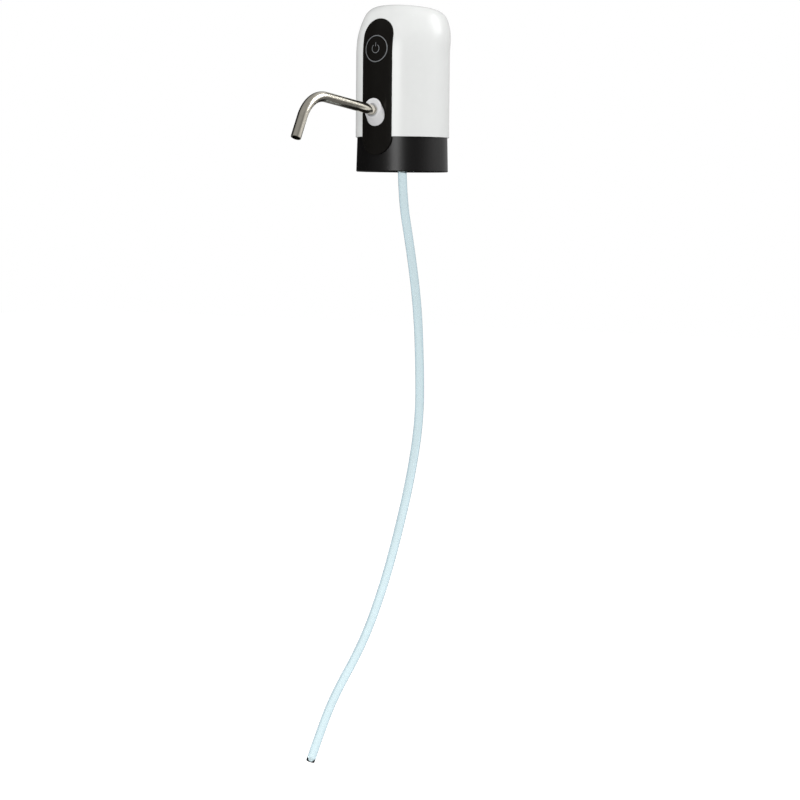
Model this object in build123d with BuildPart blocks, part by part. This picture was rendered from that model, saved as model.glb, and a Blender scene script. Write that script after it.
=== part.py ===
from build123d import *

import os
from math import cos, pi, radians, sin, tan

# Electric water pump that is pushed onto a round neck and draws through a hanging hose.
# Millimetres. The origin is the centre of the neck's rim, +Z is up, and the spout points along -Y.

os.makedirs("parts", exist_ok=True)

# General clearances
slide_gap = 0.05  # radial gap where one piece slides or turns in another
fit_gap = 0.1  # gap round a piece that is put into a recess
seat_gap = 0.2  # gap where a piece is only kept from rattling

# Neck that the pump grips
neck_radius = 27.5
neck_grip = 15.5  # depth of the seal below the rim

# Neck seal
seal_wall = 2.5
seal_flange = 1.6
seal_flange_reach = 4.0
seal_lead_in = 1.0

# Collar
collar_drop = 17.8
collar_rise = 9.4
collar_foot_inset = 0.6  # foot of the collar's wall, inside the housing's face
collar_top_inset = 1.3
collar_wall = 2.2
collar_floor = 2.4
collar_edge = 0.5
skirt_wall = 1.8
rib_count = 12
rib_width = 1.4
rib_depth = 11.0
rib_root = 0.2  # depth that a rib runs into the walls
lip_wall = 1.4
lip_height = 4.0
latch_count = 4
latch_width = 8.0
latch_height = 1.6
latch_reach = 0.6

# Housing
housing_radius = 37.2
housing_wall = 2.4
shoulder_height = 83.8
shoulder_radius = 48.9
shoulder_lean = 66.2
corner_radius = 12.4
crown_slope = 8.0
crown_shift = 4.9
crown_tilt = 5.0
blend_height = 10.0
crown_flat = 0.5

# Front panel
panel_width = 28.0
panel_top = 101.4
panel_bottom = -5.2
panel_proud = 0.3
panel_depth = 1.3

# Button
button_height = 77.7
button_radius = 9.7
button_wall = 1.4
button_skin = 2.2
button_depth = 7.3
button_flange = 1.0
button_travel = 0.8
button_stem_radius = 2.0
ring_width = 0.7
ring_flange_reach = 1.1
ring_flange = 1.2
ring_depth = 6.1

# Push switch behind the button
switch_size = 6.0
switch_depth = 3.0
plunger_radius = 1.6
plunger_proud = 1.0
plunger_length = 2.6
board_thickness = 1.6
button_board_setback = 12.8  # from the housing's face to the front of the button's board
button_board_size = 20.0
bracket_spread = 16.0  # between the two arms that carry the button's board
bracket_overlap = 10.0  # how far they run down the motor's sleeve

# Spout, in the plane X = 0
spout_radius = 4.0
spout_wall = 0.5
spout_rise = 7.0  # slope of the straight part, degrees
spout_fall = 64.15  # slope of the end part, degrees below level
spout_bend = 28.5
spout_setback = 1.2  # from the housing's face to the socket's own plane, on the spout's axis
spout_height = 29.23
spout_run = 86.0
spout_drop = 38.1
spout_edge = 0.2
spout_inserted = 8.5

# Spout socket
socket_face = 5.2
socket_face_radius = 8.1
socket_face_lift = 2.3
socket_foot = 1.0
socket_foot_radius = 8.5
socket_foot_lift = -2.2
socket_root = 5.0
socket_edge = 0.7
shank_radius = 6.5
shank_end = 10.8
socket_bore_end = 9.5
pad_radius = 10.6
pad_depth = 3.8
socket_nut_flats = 18.0
socket_nut_height = 3.0

# Sleeve and ring that seal the spout
sleeve_wall = 1.15
sleeve_recess = 0.8
sleeve_length = 10.7
ring_section = 1.15

# Silicone tubes and barbed stems
hose_radius = 3.5
hose_bore = 2.5
barb_root = 2.4
barb_crest = 2.8
barb_pitch = 3.0
stem_bore = 1.6
socket_stem = 9.0
cover_stem = 7.5
outlet_stem = 9.5
outlet_root_depth = 1.0  # how deep the stem is rooted behind the pump's channel
outlet_tube_gap = 2.8  # from the stem's root to the tube's end

# Inlet fitting
fitting_flange_radius = 7.0
fitting_flange = 2.0
fitting_gasket = 1.0
fitting_shank_radius = 4.4
nut_flats = 13.0
fitting_nut = 3.2
lower_stem = 16.0
upper_stem = 5.0

# Inner frame
plate_inset = 1.8  # from the housing's inner face to the plate's edge
plate_base = 12.0
plate_thickness = 2.0
frame_wall = 1.8
frame_height = 70.0
foot_radius = 4.0
foot_boss = 2.0
screw_circle = 19.0
screw_count = 3
screw_start_angle = 30.0
screw_radius = 1.5
screw_head_radius = 2.8
screw_head_height = 1.8
screw_length = 9.0
screw_slot = 3.2
screw_slot_width = 0.8
screw_edge = 0.4

# Pump head and motor, on one upright axis
pump_x = -5.0
pump_y = 7.0
pump_radius = 13.5
cover_base = 21.0
cover_height = 9.0
valve_plate_height = 2.5
diaphragm_flange = 1.5
case_height = 16.0
case_wall = 1.5
chamber_circle = 7.5
chamber_count = 3
chamber_angle = 65.5
chamber_radius = 3.8
chamber_wall = 0.7
chamber_height = 3.2
channel_radius = 1.3
channel_height = 24.8
channel_x = -4.2
channel_y = -4.6
inlet_ring_inner = 6.7
inlet_ring_outer = 10.0
inlet_ring_depth = 3.2
outlet_pit_radius = 5.9
inlet_valve_circle = 8.4
inlet_valve_radius = 1.7
outlet_valve_radius = 5.5
outlet_hole_circle = 4.95
valve_lip = 0.5
valve_stem = 0.6
flow_hole = 0.4
motor_radius = 12.2
motor_wall = 1.0
motor_length = 26.0
motor_cap_height = 4.8
magnet_wall = 1.6
magnet_span = 130.0
air_gap = 0.5
shaft_radius = 1.0
bearing_radius = 2.6
bearing_length = 2.4
armature_length = 14.0
commutator_radius = 2.8
commutator_length = 4.0
armature_base = 55.0
winding_reach = 2.0
pole_root = 3.2
pole_width = 3.6
pole_slot = 1.6
pole_shoe = 1.4
boss_height = 1.2
cap_plug_depth = 2.0
cap_bearing_lift = 1.2
terminal_place = 5.4
terminal_wall = 0.5
terminal_width = 2.8
terminal_reach = 4.5
damper_length = 18.0
damper_wall = 2.4
cam_radius = 5.0
cam_height = 4.0
cam_base = 43.5
cam_offset = 1.1  # clear space between the axis and the pin
pin_radius = 0.8
pin_seat = 2.0
pin_length = 6.2
yoke_base = 39.0
yoke_height = 1.6
yoke_hub = 4.4
yoke_arm = 3.0
yoke_pad = 2.2
nub_radius = 1.0
nub_head = 1.5
pump_screw_circle = 11.5
pump_screw_radius = 0.9
pump_screw_head = 1.7
pump_screw_sink = 1.6
pump_screw_length = 20.0
pump_screw_slot = 2.2
pump_slot_width = 0.6
pump_slot_depth = 0.7
pump_screw_angle = 5.5
screw_post = 1.9
motor_screw_circle = 8.0
motor_screw_radius = 1.25
motor_screw_head = 2.1
motor_screw_sink = 1.0
motor_screw_angle = 95.5  # clear of the pump head's screw posts
motor_screw_reach = 2.5  # how far the screws go into the motor

# Lithium cell
cell_x = 20.5
cell_y = 10.0
cell_radius = 9.2
cell_length = 65.0
cell_button_radius = 2.9
cell_button_height = 1.0
cup_height = 38.0

# Control board with the charging socket, at the back
board_setback = 8.6  # from the housing's face to the back of the board
board_width = 24.0
board_base = 18.0
board_height = 60.0
rail_width = 4.0
rail_depth = 5.0
chip_length = 5.0
chip_width = 4.0
chip_height = 1.6
charge_chip_x = -5.0
charge_chip_lift = 21.0  # above the board's lower edge
driver_chip_x = 4.0
driver_chip_lift = 37.2
capacitor_length = 2.0
capacitor_width = 1.25
capacitor_x = 5.0
capacitor_lift = 24.0
spare_capacitor_x = -4.0
spare_capacitor_lift = 33.0
coil_radius = 3.0
coil_height = 2.4
coil_x = 5.0
coil_lift = 15.0
plug_lift = 51.0
plug_height = 2.6
plug_width = 7.0
button_plug_width = 4.0
button_plug_x = -6.5
usb_height = 40.0
usb_width = 7.6
usb_thickness = 2.8
usb_wall = 0.4
usb_recess = 1.0
usb_clearance = 0.8  # room round the socket in the housing's opening
usb_corner = 0.9
usb_depth = 5.0
lamp_height = 50.0
lamp_radius = 1.5
lamp_body = 2.4
lens_flange = 1.0
lens_flange_reach = 0.8

# Leads
lead_radius = 0.6
lead_bend = 4.0
lead_pitch = 1.6  # between two leads in their plug
motor_lead_rise = 8.7  # above the motor's terminals
motor_return_rise = 5.7
cell_lead_rise = 8.0  # above the cell's button
cell_return_rise = 6.0  # above the cell's top
cell_return_x = -4.0  # from the cell's axis
cell_return_y = 5.0
button_lead_x = -5.0
button_lead_lift = 6.3  # above the button's middle

# Suction hose
exit_drop = 2.0  # the hose's upper end, below the rim
hose_heading = 35.4  # direction of its plane from +X, degrees
hose_route = [  # along the plane, height, aside from the plane
    (0, -exit_drop, 0),
    (0, -36, 0),
    (7.5, -80, 1),
    (13.5, -126, 3),
    (15.6, -172, 5),
    (16, -216, 6),
    (9.5, -262, 5),
    (-0.5, -308, 3),
    (-12, -352, 1),
    (-28, -398, -1),
    (-51, -441, -2),
    (-62, -470, -2),
    (-70.5, -496, -2),
]

# Derived places
floor_base = seal_flange
floor_top = floor_base + collar_floor
seal_outer = neck_radius + seal_wall
skirt_outer = seal_outer + skirt_wall
housing_inner = housing_radius - housing_wall
collar_foot_radius = housing_radius - collar_foot_inset
collar_top_radius = housing_radius - collar_top_inset
plate_radius = housing_inner - plate_inset
board_back = housing_radius - board_setback
board_y = board_back - board_thickness
button_board_front = housing_radius - button_board_setback
spout_front = housing_radius - spout_setback
panel_floor = panel_depth + fit_gap
shank_hole = shank_radius + fit_gap
ring_outer = button_radius + fit_gap + ring_width
ring_inner = button_radius + fit_gap
button_face_y = -(housing_radius + panel_proud)
ring_back_y = button_face_y + ring_depth
cap_back_y = button_face_y + button_depth
plunger_tip_y = -(button_board_front + switch_depth + plunger_proud)
sleeve_outer = spout_radius + slide_gap + sleeve_wall
socket_bore = sleeve_outer + slide_gap
fitting_base = floor_top + fitting_gasket
fitting_top = fitting_base + fitting_flange
plate_top = plate_base + plate_thickness
frame_bore = motor_radius + damper_wall
cup_bore = cell_radius + seat_gap
valve_base = cover_base + cover_height
diaphragm_base = valve_base + valve_plate_height
case_base = diaphragm_base + diaphragm_flange
motor_base = case_base + case_height
motor_cap_base = motor_base + motor_length
motor_top = motor_cap_base + motor_cap_height

# Planes
pump_plane = Plane((pump_x, pump_y, 0))
cell_plane = Plane((cell_x, cell_y, 0))
spout_plane = Plane(
    origin=(0, -spout_front, spout_height),
    x_dir=(1, 0, 0),
    z_dir=(0, -cos(radians(spout_rise)), sin(radians(spout_rise))),
)


def arc_point(centre, radius, slope):
    """Point (radius, height) of an arc in the dome's outline, where the surface leans by slope degrees."""
    return centre[0] + radius * sin(radians(slope)), centre[1] + radius * cos(radians(slope))


def between(first, last, count):
    """Values from first to last, without first."""
    return [first + (last - first) * step / count for step in range(1, count + 1)]


shoulder = (housing_radius - shoulder_radius, shoulder_height)
corner = arc_point(shoulder, shoulder_radius - corner_radius, shoulder_lean)
crown_radius = corner_radius + corner[0] / sin(radians(crown_slope))
crown_height = arc_point(corner, corner_radius - crown_radius, crown_slope)[1] + crown_radius


def dome_outline(inset):
    """Points (radius, height, outer height) up to the crown: a shoulder arc and a corner arc."""
    arcs = [(shoulder, shoulder_radius, slope) for slope in between(90, shoulder_lean, 4)]
    arcs += [(corner, corner_radius, slope) for slope in between(shoulder_lean, crown_slope, 6)]
    points = []
    for centre, radius, slope in arcs:
        outer_height = arc_point(centre, radius, slope)[1]
        points.append((*arc_point(centre, radius - inset, slope), outer_height))
    return points


def dome_share(height):
    """How much of the crown's shift and tilt there is at this height, from 0 to 1."""
    start = shoulder_height - blend_height
    share = max(0.0, min(1.0, (height - start) / (crown_height - start)))
    return share * share * (3 - 2 * share)


def dome(inset, floor):
    """The housing's outer form, moved in by inset, from floor up to the crown, which is a cap of a sphere."""
    radius = housing_radius - inset
    cap_radius = crown_radius - inset
    start = shoulder_height - blend_height
    with BuildPart() as form:
        with BuildSketch(Plane.XY.offset(floor)):
            Circle(radius)
        extrude(amount=start - floor)
        levels = [(radius, height, height) for height in (start, *between(start, shoulder_height, 3))]
        for ring_radius, height, outer_height in levels + dome_outline(inset):
            share = dome_share(outer_height)
            lean = radians(crown_tilt * share)
            ring_plane = Plane(
                origin=(0, crown_shift * share, height),
                x_dir=(1, 0, 0),
                z_dir=(0, sin(lean), cos(lean)),
            )
            with BuildSketch(ring_plane):
                Circle(ring_radius)
        loft()
        with BuildSketch(Plane(origin=ring_plane.origin, x_dir=ring_plane.x_dir, z_dir=-ring_plane.y_dir)):
            with BuildLine():
                cap_centre = (0, -cap_radius * cos(radians(crown_slope)))
                cap_arc = CenterArc(cap_centre, cap_radius, 90 - crown_slope, crown_slope - crown_flat)
                Polyline(cap_arc @ 1, (0, (cap_arc @ 1).Y), (0, 0), cap_arc @ 0)
            make_face()
        revolve(axis=Axis(ring_plane.origin, ring_plane.z_dir))
    return form.part


def front_slot(width, margin):
    """Solid in front of the axis with the front panel's outline, grown by margin."""
    with BuildPart() as slot:
        with BuildSketch(Plane.XZ):
            with Locations((0, (panel_top + panel_bottom) / 2)):
                SlotOverall(panel_top - panel_bottom + 2 * margin, width + 2 * margin, rotation=90)
        extrude(amount=2 * housing_radius)
    return slot.part


def barbed_stem(plane, length):
    """Stem on a plane with round barbs, from the plane outwards."""
    count = int((length - 1) // barb_pitch)
    with BuildPart() as stem:
        with BuildSketch(plane):
            Circle(barb_root)
        extrude(amount=length)
        for number in range(count):
            top = length - number * barb_pitch
            with BuildSketch(plane.offset(top - barb_pitch * 0.6)):
                Circle(barb_crest)
            with BuildSketch(plane.offset(top)):
                Circle(barb_root)
            loft()
    return stem.part


outer_dome = dome(0, collar_rise)
inner_dome = dome(housing_wall, collar_rise)
panel_front = dome(-panel_proud, -collar_drop)
panel_back = dome(panel_depth, -collar_drop)
recess_floor = dome(panel_floor, -collar_drop)


# Housing: a domed shell with a recess for the panel, a pad for the socket and openings at the back
with BuildPart() as socket_pad:
    with BuildSketch(spout_plane.offset(-pad_depth)):
        Circle(pad_radius)
    extrude(amount=pad_depth)
    add(recess_floor, mode=Mode.INTERSECT)

with BuildPart() as top_housing:
    add(outer_dome)
    add(inner_dome, mode=Mode.SUBTRACT)
    add(front_slot(panel_width, fit_gap) - recess_floor, mode=Mode.SUBTRACT)
    add(socket_pad.part)
    with BuildSketch(Plane.XZ):
        with Locations((0, button_height)):
            Circle(ring_outer + fit_gap)
    extrude(amount=2 * housing_radius, mode=Mode.SUBTRACT)
    with BuildSketch(spout_plane.offset(-2 * pad_depth)):
        Circle(shank_hole)
    extrude(amount=4 * pad_depth, mode=Mode.SUBTRACT)
    with BuildSketch(Plane.XZ):
        with Locations((0, usb_height)):
            RectangleRounded(
                usb_width + 2 * usb_clearance,
                usb_thickness + 2 * usb_clearance,
                usb_corner + fit_gap,
            )
        with Locations((0, lamp_height)):
            Circle(lamp_radius + fit_gap)
    extrude(amount=-2 * housing_radius, mode=Mode.SUBTRACT)
    with PolarLocations(housing_inner, latch_count, start_angle=45):
        with Locations((0, 0, collar_rise + lip_height / 2)):
            Box(
                2 * (latch_reach + fit_gap),
                latch_width + 2 * fit_gap,
                latch_height + 2 * fit_gap,
                mode=Mode.SUBTRACT,
            )
top_housing.part.label = "top_housing"
export_step(top_housing.part, "parts/top_housing.step")


# Front panel: a thin curved strip that follows the dome and laps over the collar
with BuildPart() as front_panel:
    add(front_slot(panel_width, 0))
    add(panel_front, mode=Mode.INTERSECT)
    add(panel_back, mode=Mode.SUBTRACT)
    with BuildSketch(Plane.XZ):
        with Locations((0, button_height)):
            Circle(ring_outer + fit_gap)
    extrude(amount=2 * housing_radius, mode=Mode.SUBTRACT)
    with BuildSketch(spout_plane.offset(-2 * pad_depth)):
        Circle(shank_hole)
    extrude(amount=4 * pad_depth, mode=Mode.SUBTRACT)
front_panel.part.label = "front_panel"
export_step(front_panel.part, "parts/front_panel.step")


# Collar: outer wall, floor, skirt round the seal and ribs between them
with BuildPart() as base_collar:
    with BuildSketch(Plane.XZ):
        with BuildLine():
            Polyline(
                (fitting_shank_radius + fit_gap, floor_base),
                (seal_outer, floor_base),
                (seal_outer, -neck_grip),
                (skirt_outer, -neck_grip),
                (skirt_outer, floor_base),
                (collar_foot_radius - collar_wall, floor_base),
                (collar_foot_radius - collar_wall, -collar_drop),
                (collar_foot_radius, -collar_drop),
                (collar_top_radius, collar_rise),
                (housing_inner - fit_gap, collar_rise),
                (housing_inner - fit_gap, collar_rise + lip_height),
                (housing_inner - fit_gap - lip_wall, collar_rise + lip_height),
                (housing_inner - fit_gap - lip_wall, floor_top),
                (fitting_shank_radius + fit_gap, floor_top),
                close=True,
            )
        make_face()
    revolve(axis=Axis.Z)
    foot_edge = base_collar.edges().filter_by(GeomType.CIRCLE).group_by(Axis.Z)[0].sort_by(SortBy.RADIUS)[-1]
    chamfer(foot_edge, collar_edge)
    with PolarLocations((skirt_outer + collar_foot_radius - collar_wall) / 2, rib_count, start_angle=15):
        with Locations((0, 0, floor_base - rib_depth / 2)):
            Box(collar_foot_radius - collar_wall - skirt_outer + 2 * rib_root, rib_width, rib_depth)
    with PolarLocations(screw_circle, screw_count, start_angle=screw_start_angle):
        with Locations((0, 0, floor_top + foot_boss / 2)):
            Cylinder(foot_radius, foot_boss)
        with Locations((0, 0, floor_base + screw_head_height / 2)):
            Cylinder(screw_head_radius + fit_gap, screw_head_height, mode=Mode.SUBTRACT)
        with Locations((0, 0, floor_top)):
            Cylinder(screw_radius + fit_gap, 4 * foot_boss, mode=Mode.SUBTRACT)
    with PolarLocations(housing_inner - fit_gap, latch_count, start_angle=45):
        with Locations((0, 0, collar_rise + lip_height / 2)):
            Box(2 * latch_reach, latch_width, latch_height)
    add(front_slot(panel_width, fit_gap) - recess_floor, mode=Mode.SUBTRACT)
base_collar.part.label = "base_collar"
export_step(base_collar.part, "parts/base_collar.step")


# Neck seal: silicone ring with a flange that the neck's rim presses against
with BuildPart() as neck_seal:
    with BuildSketch(Plane.XZ):
        with BuildLine():
            Polyline(
                (neck_radius - seal_flange_reach, floor_base),
                (seal_outer, floor_base),
                (seal_outer, -neck_grip),
                (neck_radius + seal_lead_in, -neck_grip),
                (neck_radius, seal_lead_in - neck_grip),
                (neck_radius, 0),
                (neck_radius - seal_flange_reach, 0),
                close=True,
            )
        make_face()
    revolve(axis=Axis.Z)
neck_seal.part.label = "neck_seal"
export_step(neck_seal.part, "parts/neck_seal.step")


# Screws that hold the inner frame to the collar's floor
with BuildPart() as base_screws:
    with PolarLocations(screw_circle, screw_count, start_angle=screw_start_angle):
        with Locations((0, 0, floor_base + screw_head_height / 2)):
            Cylinder(screw_head_radius, screw_head_height)
        with Locations((0, 0, floor_base + screw_head_height + screw_length / 2)):
            Cylinder(screw_radius, screw_length)
    rims = base_screws.edges().filter_by(GeomType.CIRCLE).group_by(Axis.Z)[0]
    chamfer(rims, screw_edge)
    with PolarLocations(screw_circle, screw_count, start_angle=screw_start_angle):
        with Locations((0, 0, floor_base)):
            Box(screw_slot, screw_slot_width, 2 * screw_slot_width, mode=Mode.SUBTRACT)
            Box(screw_slot_width, screw_slot, 2 * screw_slot_width, mode=Mode.SUBTRACT)
base_screws.part.label = "base_screws"
export_step(base_screws.part, "parts/base_screws.step")


# Inlet fitting: flange above the collar's floor, thread and nut, a barbed stem at each end
with BuildPart() as inlet_nozzle:
    with BuildSketch(Plane.XY.offset(fitting_base)):
        Circle(fitting_flange_radius)
    extrude(amount=fitting_flange)
    with BuildSketch(Plane.XY.offset(floor_base - fitting_nut)):
        Circle(fitting_shank_radius)
    extrude(amount=fitting_base + fitting_nut - floor_base)
    add(barbed_stem(Plane.XY.offset(fitting_top), upper_stem))
    add(barbed_stem(Plane((0, 0, floor_base - fitting_nut), z_dir=(0, 0, -1)), lower_stem))
    with BuildSketch(Plane.XY.offset(-neck_grip - lower_stem)):
        Circle(stem_bore)
    extrude(amount=2 * (neck_grip + lower_stem), mode=Mode.SUBTRACT)
inlet_nozzle.part.label = "inlet_nozzle"
export_step(inlet_nozzle.part, "parts/inlet_nozzle.step")

with BuildPart() as inlet_gasket:
    with BuildSketch(Plane.XY.offset(floor_top)):
        Circle(fitting_flange_radius)
        Circle(fitting_shank_radius + fit_gap, mode=Mode.SUBTRACT)
    extrude(amount=fitting_gasket)
inlet_gasket.part.label = "inlet_gasket"
export_step(inlet_gasket.part, "parts/inlet_gasket.step")

with BuildPart() as inlet_nut:
    with BuildSketch(Plane.XY.offset(floor_base - fitting_nut)):
        RegularPolygon(nut_flats / 2, 6, major_radius=False)
        Circle(fitting_shank_radius, mode=Mode.SUBTRACT)
    extrude(amount=fitting_nut)
inlet_nut.part.label = "inlet_nut"
export_step(inlet_nut.part, "parts/inlet_nut.step")


# Short tube from the fitting to the pump's inlet
with BuildPart() as inlet_tube:
    with BuildSketch(Plane.XY.offset(fitting_top + seat_gap)):
        Circle(hose_radius)
        Circle(hose_bore, mode=Mode.SUBTRACT)
    extrude(amount=cover_base - fitting_top - 2 * seat_gap)
inlet_tube.part.label = "inlet_tube"
export_step(inlet_tube.part, "parts/inlet_tube.step")


# Spout socket: an oblique cone on the panel, a threaded shank through the wall and a stem for the tube
socket_run = socket_face - socket_foot
root_grow = socket_root * (socket_foot_radius - socket_face_radius) / socket_run
root_lift = socket_root * (socket_foot_lift - socket_face_lift) / socket_run
with BuildPart() as socket_shank:
    with BuildSketch(spout_plane.offset(-shank_end)):
        Circle(shank_radius)
    extrude(amount=shank_end + socket_face)
    add(panel_front, mode=Mode.INTERSECT)

with BuildPart() as spout_socket:
    with BuildSketch(spout_plane.offset(socket_foot - socket_root)):
        with Locations((0, socket_foot_lift + root_lift)):
            Circle(socket_foot_radius + root_grow)
    with BuildSketch(spout_plane.offset(socket_face)):
        with Locations((0, socket_face_lift)):
            Circle(socket_face_radius)
    loft()
    face_edge = spout_socket.faces().sort_by(Axis(spout_plane.origin, spout_plane.z_dir))[-1].edges()
    fillet(face_edge, socket_edge)
    add(panel_front, mode=Mode.SUBTRACT)
    add(socket_shank.part)
    add(barbed_stem(Plane(spout_plane.offset(-shank_end).origin, z_dir=-spout_plane.z_dir), socket_stem))
    with BuildSketch(spout_plane.offset(-socket_bore_end)):
        Circle(socket_bore)
    extrude(amount=socket_bore_end + 2 * socket_face, mode=Mode.SUBTRACT)
    with BuildSketch(spout_plane.offset(-2 * shank_end)):
        Circle(stem_bore)
    extrude(amount=2 * shank_end, mode=Mode.SUBTRACT)
spout_socket.part.label = "spout_socket"
export_step(spout_socket.part, "parts/spout_socket.step")

with BuildPart() as socket_nut:
    with BuildSketch(spout_plane.offset(-pad_depth - socket_nut_height)):
        RegularPolygon(socket_nut_flats / 2, 6, major_radius=False)
        Circle(shank_radius, mode=Mode.SUBTRACT)
    extrude(amount=socket_nut_height)
socket_nut.part.label = "socket_nut"
export_step(socket_nut.part, "parts/socket_nut.step")


# Sleeve and ring round the spout's inner end
with BuildPart() as spout_sleeve:
    with BuildSketch(spout_plane.offset(socket_face - sleeve_recess - sleeve_length)):
        Circle(sleeve_outer)
        Circle(spout_radius + slide_gap, mode=Mode.SUBTRACT)
    extrude(amount=sleeve_length)
spout_sleeve.part.label = "spout_sleeve"
export_step(spout_sleeve.part, "parts/spout_sleeve.step")

ring_place = socket_face - sleeve_recess - sleeve_length - ring_section / 2
with BuildPart() as spout_o_ring:
    with Locations(spout_plane.offset(ring_place)):
        Torus(spout_radius + slide_gap + sleeve_wall / 2, ring_section / 2)
spout_o_ring.part.label = "spout_o_ring"
export_step(spout_o_ring.part, "parts/spout_o_ring.step")


# Spout: a thin tube with one bend, square ends
spout_start = spout_plane.offset(-spout_inserted).origin
spout_corner = spout_plane.offset(spout_run).origin
spout_end = spout_corner + Vector(0, -cos(radians(spout_fall)), -sin(radians(spout_fall))) * spout_drop
with BuildPart() as spout_tube:
    with BuildLine():
        FilletPolyline(spout_start, spout_corner, spout_end, radius=spout_bend)
    with BuildSketch(spout_plane.offset(-spout_inserted)):
        Circle(spout_radius)
        Circle(spout_radius - spout_wall, mode=Mode.SUBTRACT)
    sweep()
    tip_face = spout_tube.faces().sort_by_distance(spout_end)[0]
    chamfer(tip_face.edges().sort_by(SortBy.RADIUS)[-1], spout_edge)
spout_tube.part.label = "spout_tube"
export_step(spout_tube.part, "parts/spout_tube.step")


# Button: light ring in the panel, cap that slides in it, push switch and its board
def front_plane(y):
    """Upright plane at this y, facing the front."""
    return Plane.XZ.offset(-y)


with BuildPart() as button_ring:
    with BuildSketch(front_plane(ring_back_y)):
        with Locations((0, button_height)):
            Circle(ring_outer + ring_flange_reach)
    extrude(amount=ring_flange)
    with BuildSketch(front_plane(ring_back_y)):
        with Locations((0, button_height)):
            Circle(ring_outer)
    extrude(amount=housing_radius)
    with BuildSketch(front_plane(0)):
        with Locations((0, button_height)):
            Circle(ring_inner)
    extrude(amount=2 * housing_radius, mode=Mode.SUBTRACT)
    add(panel_front, mode=Mode.INTERSECT)
button_ring.part.label = "button_ring"
export_step(button_ring.part, "parts/button_ring.step")

with BuildPart() as button_cap:
    with BuildSketch(front_plane(cap_back_y)):
        with Locations((0, button_height)):
            Circle(ring_outer)
    extrude(amount=button_flange)
    with BuildSketch(front_plane(cap_back_y)):
        with Locations((0, button_height)):
            Circle(button_radius)
    extrude(amount=housing_radius)
    add(panel_front, mode=Mode.INTERSECT)
    with BuildSketch(front_plane(cap_back_y)):
        with Locations((0, button_height)):
            Circle(button_radius - button_wall)
    extrude(amount=button_depth - button_skin, mode=Mode.SUBTRACT)
    with BuildSketch(front_plane(plunger_tip_y)):
        with Locations((0, button_height)):
            Circle(button_stem_radius)
    extrude(amount=plunger_tip_y - button_face_y - button_skin / 2)
button_cap.part.label = "button_cap"
export_step(button_cap.part, "parts/button_cap.step")

with BuildPart() as switch_plunger:
    with BuildSketch(front_plane(plunger_tip_y + plunger_length)):
        with Locations((0, button_height)):
            Circle(plunger_radius)
    extrude(amount=plunger_length)
switch_plunger.part.label = "switch_plunger"
export_step(switch_plunger.part, "parts/switch_plunger.step")

with BuildPart() as switch_body:
    with BuildSketch(front_plane(-button_board_front)):
        with Locations((0, button_height)):
            Rectangle(switch_size, switch_size)
    extrude(amount=switch_depth)
    with BuildSketch(front_plane(plunger_tip_y + plunger_length + 1.2 * button_travel)):
        with Locations((0, button_height)):
            Circle(plunger_radius + fit_gap)
    extrude(amount=plunger_length, mode=Mode.SUBTRACT)
switch_body.part.label = "switch_body"
export_step(switch_body.part, "parts/switch_body.step")

with BuildPart() as button_board:
    with BuildSketch(front_plane(board_thickness - button_board_front)):
        with Locations((0, button_height)):
            RectangleRounded(button_board_size, button_board_size, 2)
    extrude(amount=board_thickness)
button_board.part.label = "button_board"
export_step(button_board.part, "parts/button_board.step")


# Inner frame: plate on three feet, sleeve round the motor, cup for the cell, rails for the boards
with BuildPart() as chassis:
    with BuildSketch(Plane.XY.offset(plate_base)):
        Circle(plate_radius)
    extrude(amount=plate_thickness)
    with PolarLocations(screw_circle, screw_count, start_angle=screw_start_angle):
        with Locations((0, 0, (floor_top + foot_boss + plate_top) / 2)):
            Cylinder(foot_radius, plate_top - floor_top - foot_boss)
    with BuildSketch(pump_plane.offset(plate_top)):
        Circle(frame_bore + frame_wall)
    extrude(amount=frame_height - plate_top)
    with BuildSketch(cell_plane.offset(plate_top)):
        Circle(cup_bore + frame_wall)
    extrude(amount=cup_height)
    with BuildSketch(Plane.XY.offset(frame_height - bracket_overlap)):
        with Locations((0, -button_board_front / 2)):
            with GridLocations(bracket_spread, 1, 2, 1):
                Rectangle(frame_wall, button_board_front - 2 * board_thickness)
    extrude(amount=button_height + button_board_size / 2 - frame_height + bracket_overlap)
    with BuildSketch(Plane.XY.offset(plate_top)):
        with GridLocations(board_width + rail_width / 2, 1, 2, 1):
            with Locations((0, board_y + board_thickness / 2)):
                Rectangle(rail_width, rail_depth)
    extrude(amount=board_height / 2)
    with BuildSketch(pump_plane.offset(cover_base)):
        Circle(frame_bore)
    extrude(amount=housing_radius * 3, mode=Mode.SUBTRACT)
    with BuildSketch(pump_plane.offset(plate_top)):
        Circle(pump_screw_circle)
    extrude(amount=cover_base - plate_top, mode=Mode.SUBTRACT)
    with BuildSketch(cell_plane.offset(plate_top)):
        Circle(cup_bore)
    extrude(amount=2 * cup_height, mode=Mode.SUBTRACT)
    with BuildSketch():
        Circle(hose_radius + 3 * seat_gap)
    extrude(amount=cover_base, mode=Mode.SUBTRACT)
    with BuildSketch(Plane.XY.offset(plate_top)):
        with Locations((0, pump_y - frame_bore)):
            Rectangle(2 * (hose_radius + 4 * seat_gap), frame_bore)
    extrude(amount=valve_base + frame_wall - plate_top, mode=Mode.SUBTRACT)
    with BuildSketch(Plane.XY.offset(plate_top)):
        with Locations((0, board_y + board_thickness / 2)):
            Rectangle(board_width + 2 * fit_gap, board_thickness + 2 * fit_gap)
    extrude(amount=board_height, mode=Mode.SUBTRACT)
    with PolarLocations(screw_circle, screw_count, start_angle=screw_start_angle):
        with Locations((0, 0, floor_top + foot_boss)):
            Cylinder(
                screw_radius,
                screw_length + screw_head_height - foot_boss,
                align=(Align.CENTER, Align.CENTER, Align.MIN),
                mode=Mode.SUBTRACT,
            )
chassis.part.label = "chassis"
export_step(chassis.part, "parts/chassis.step")


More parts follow.
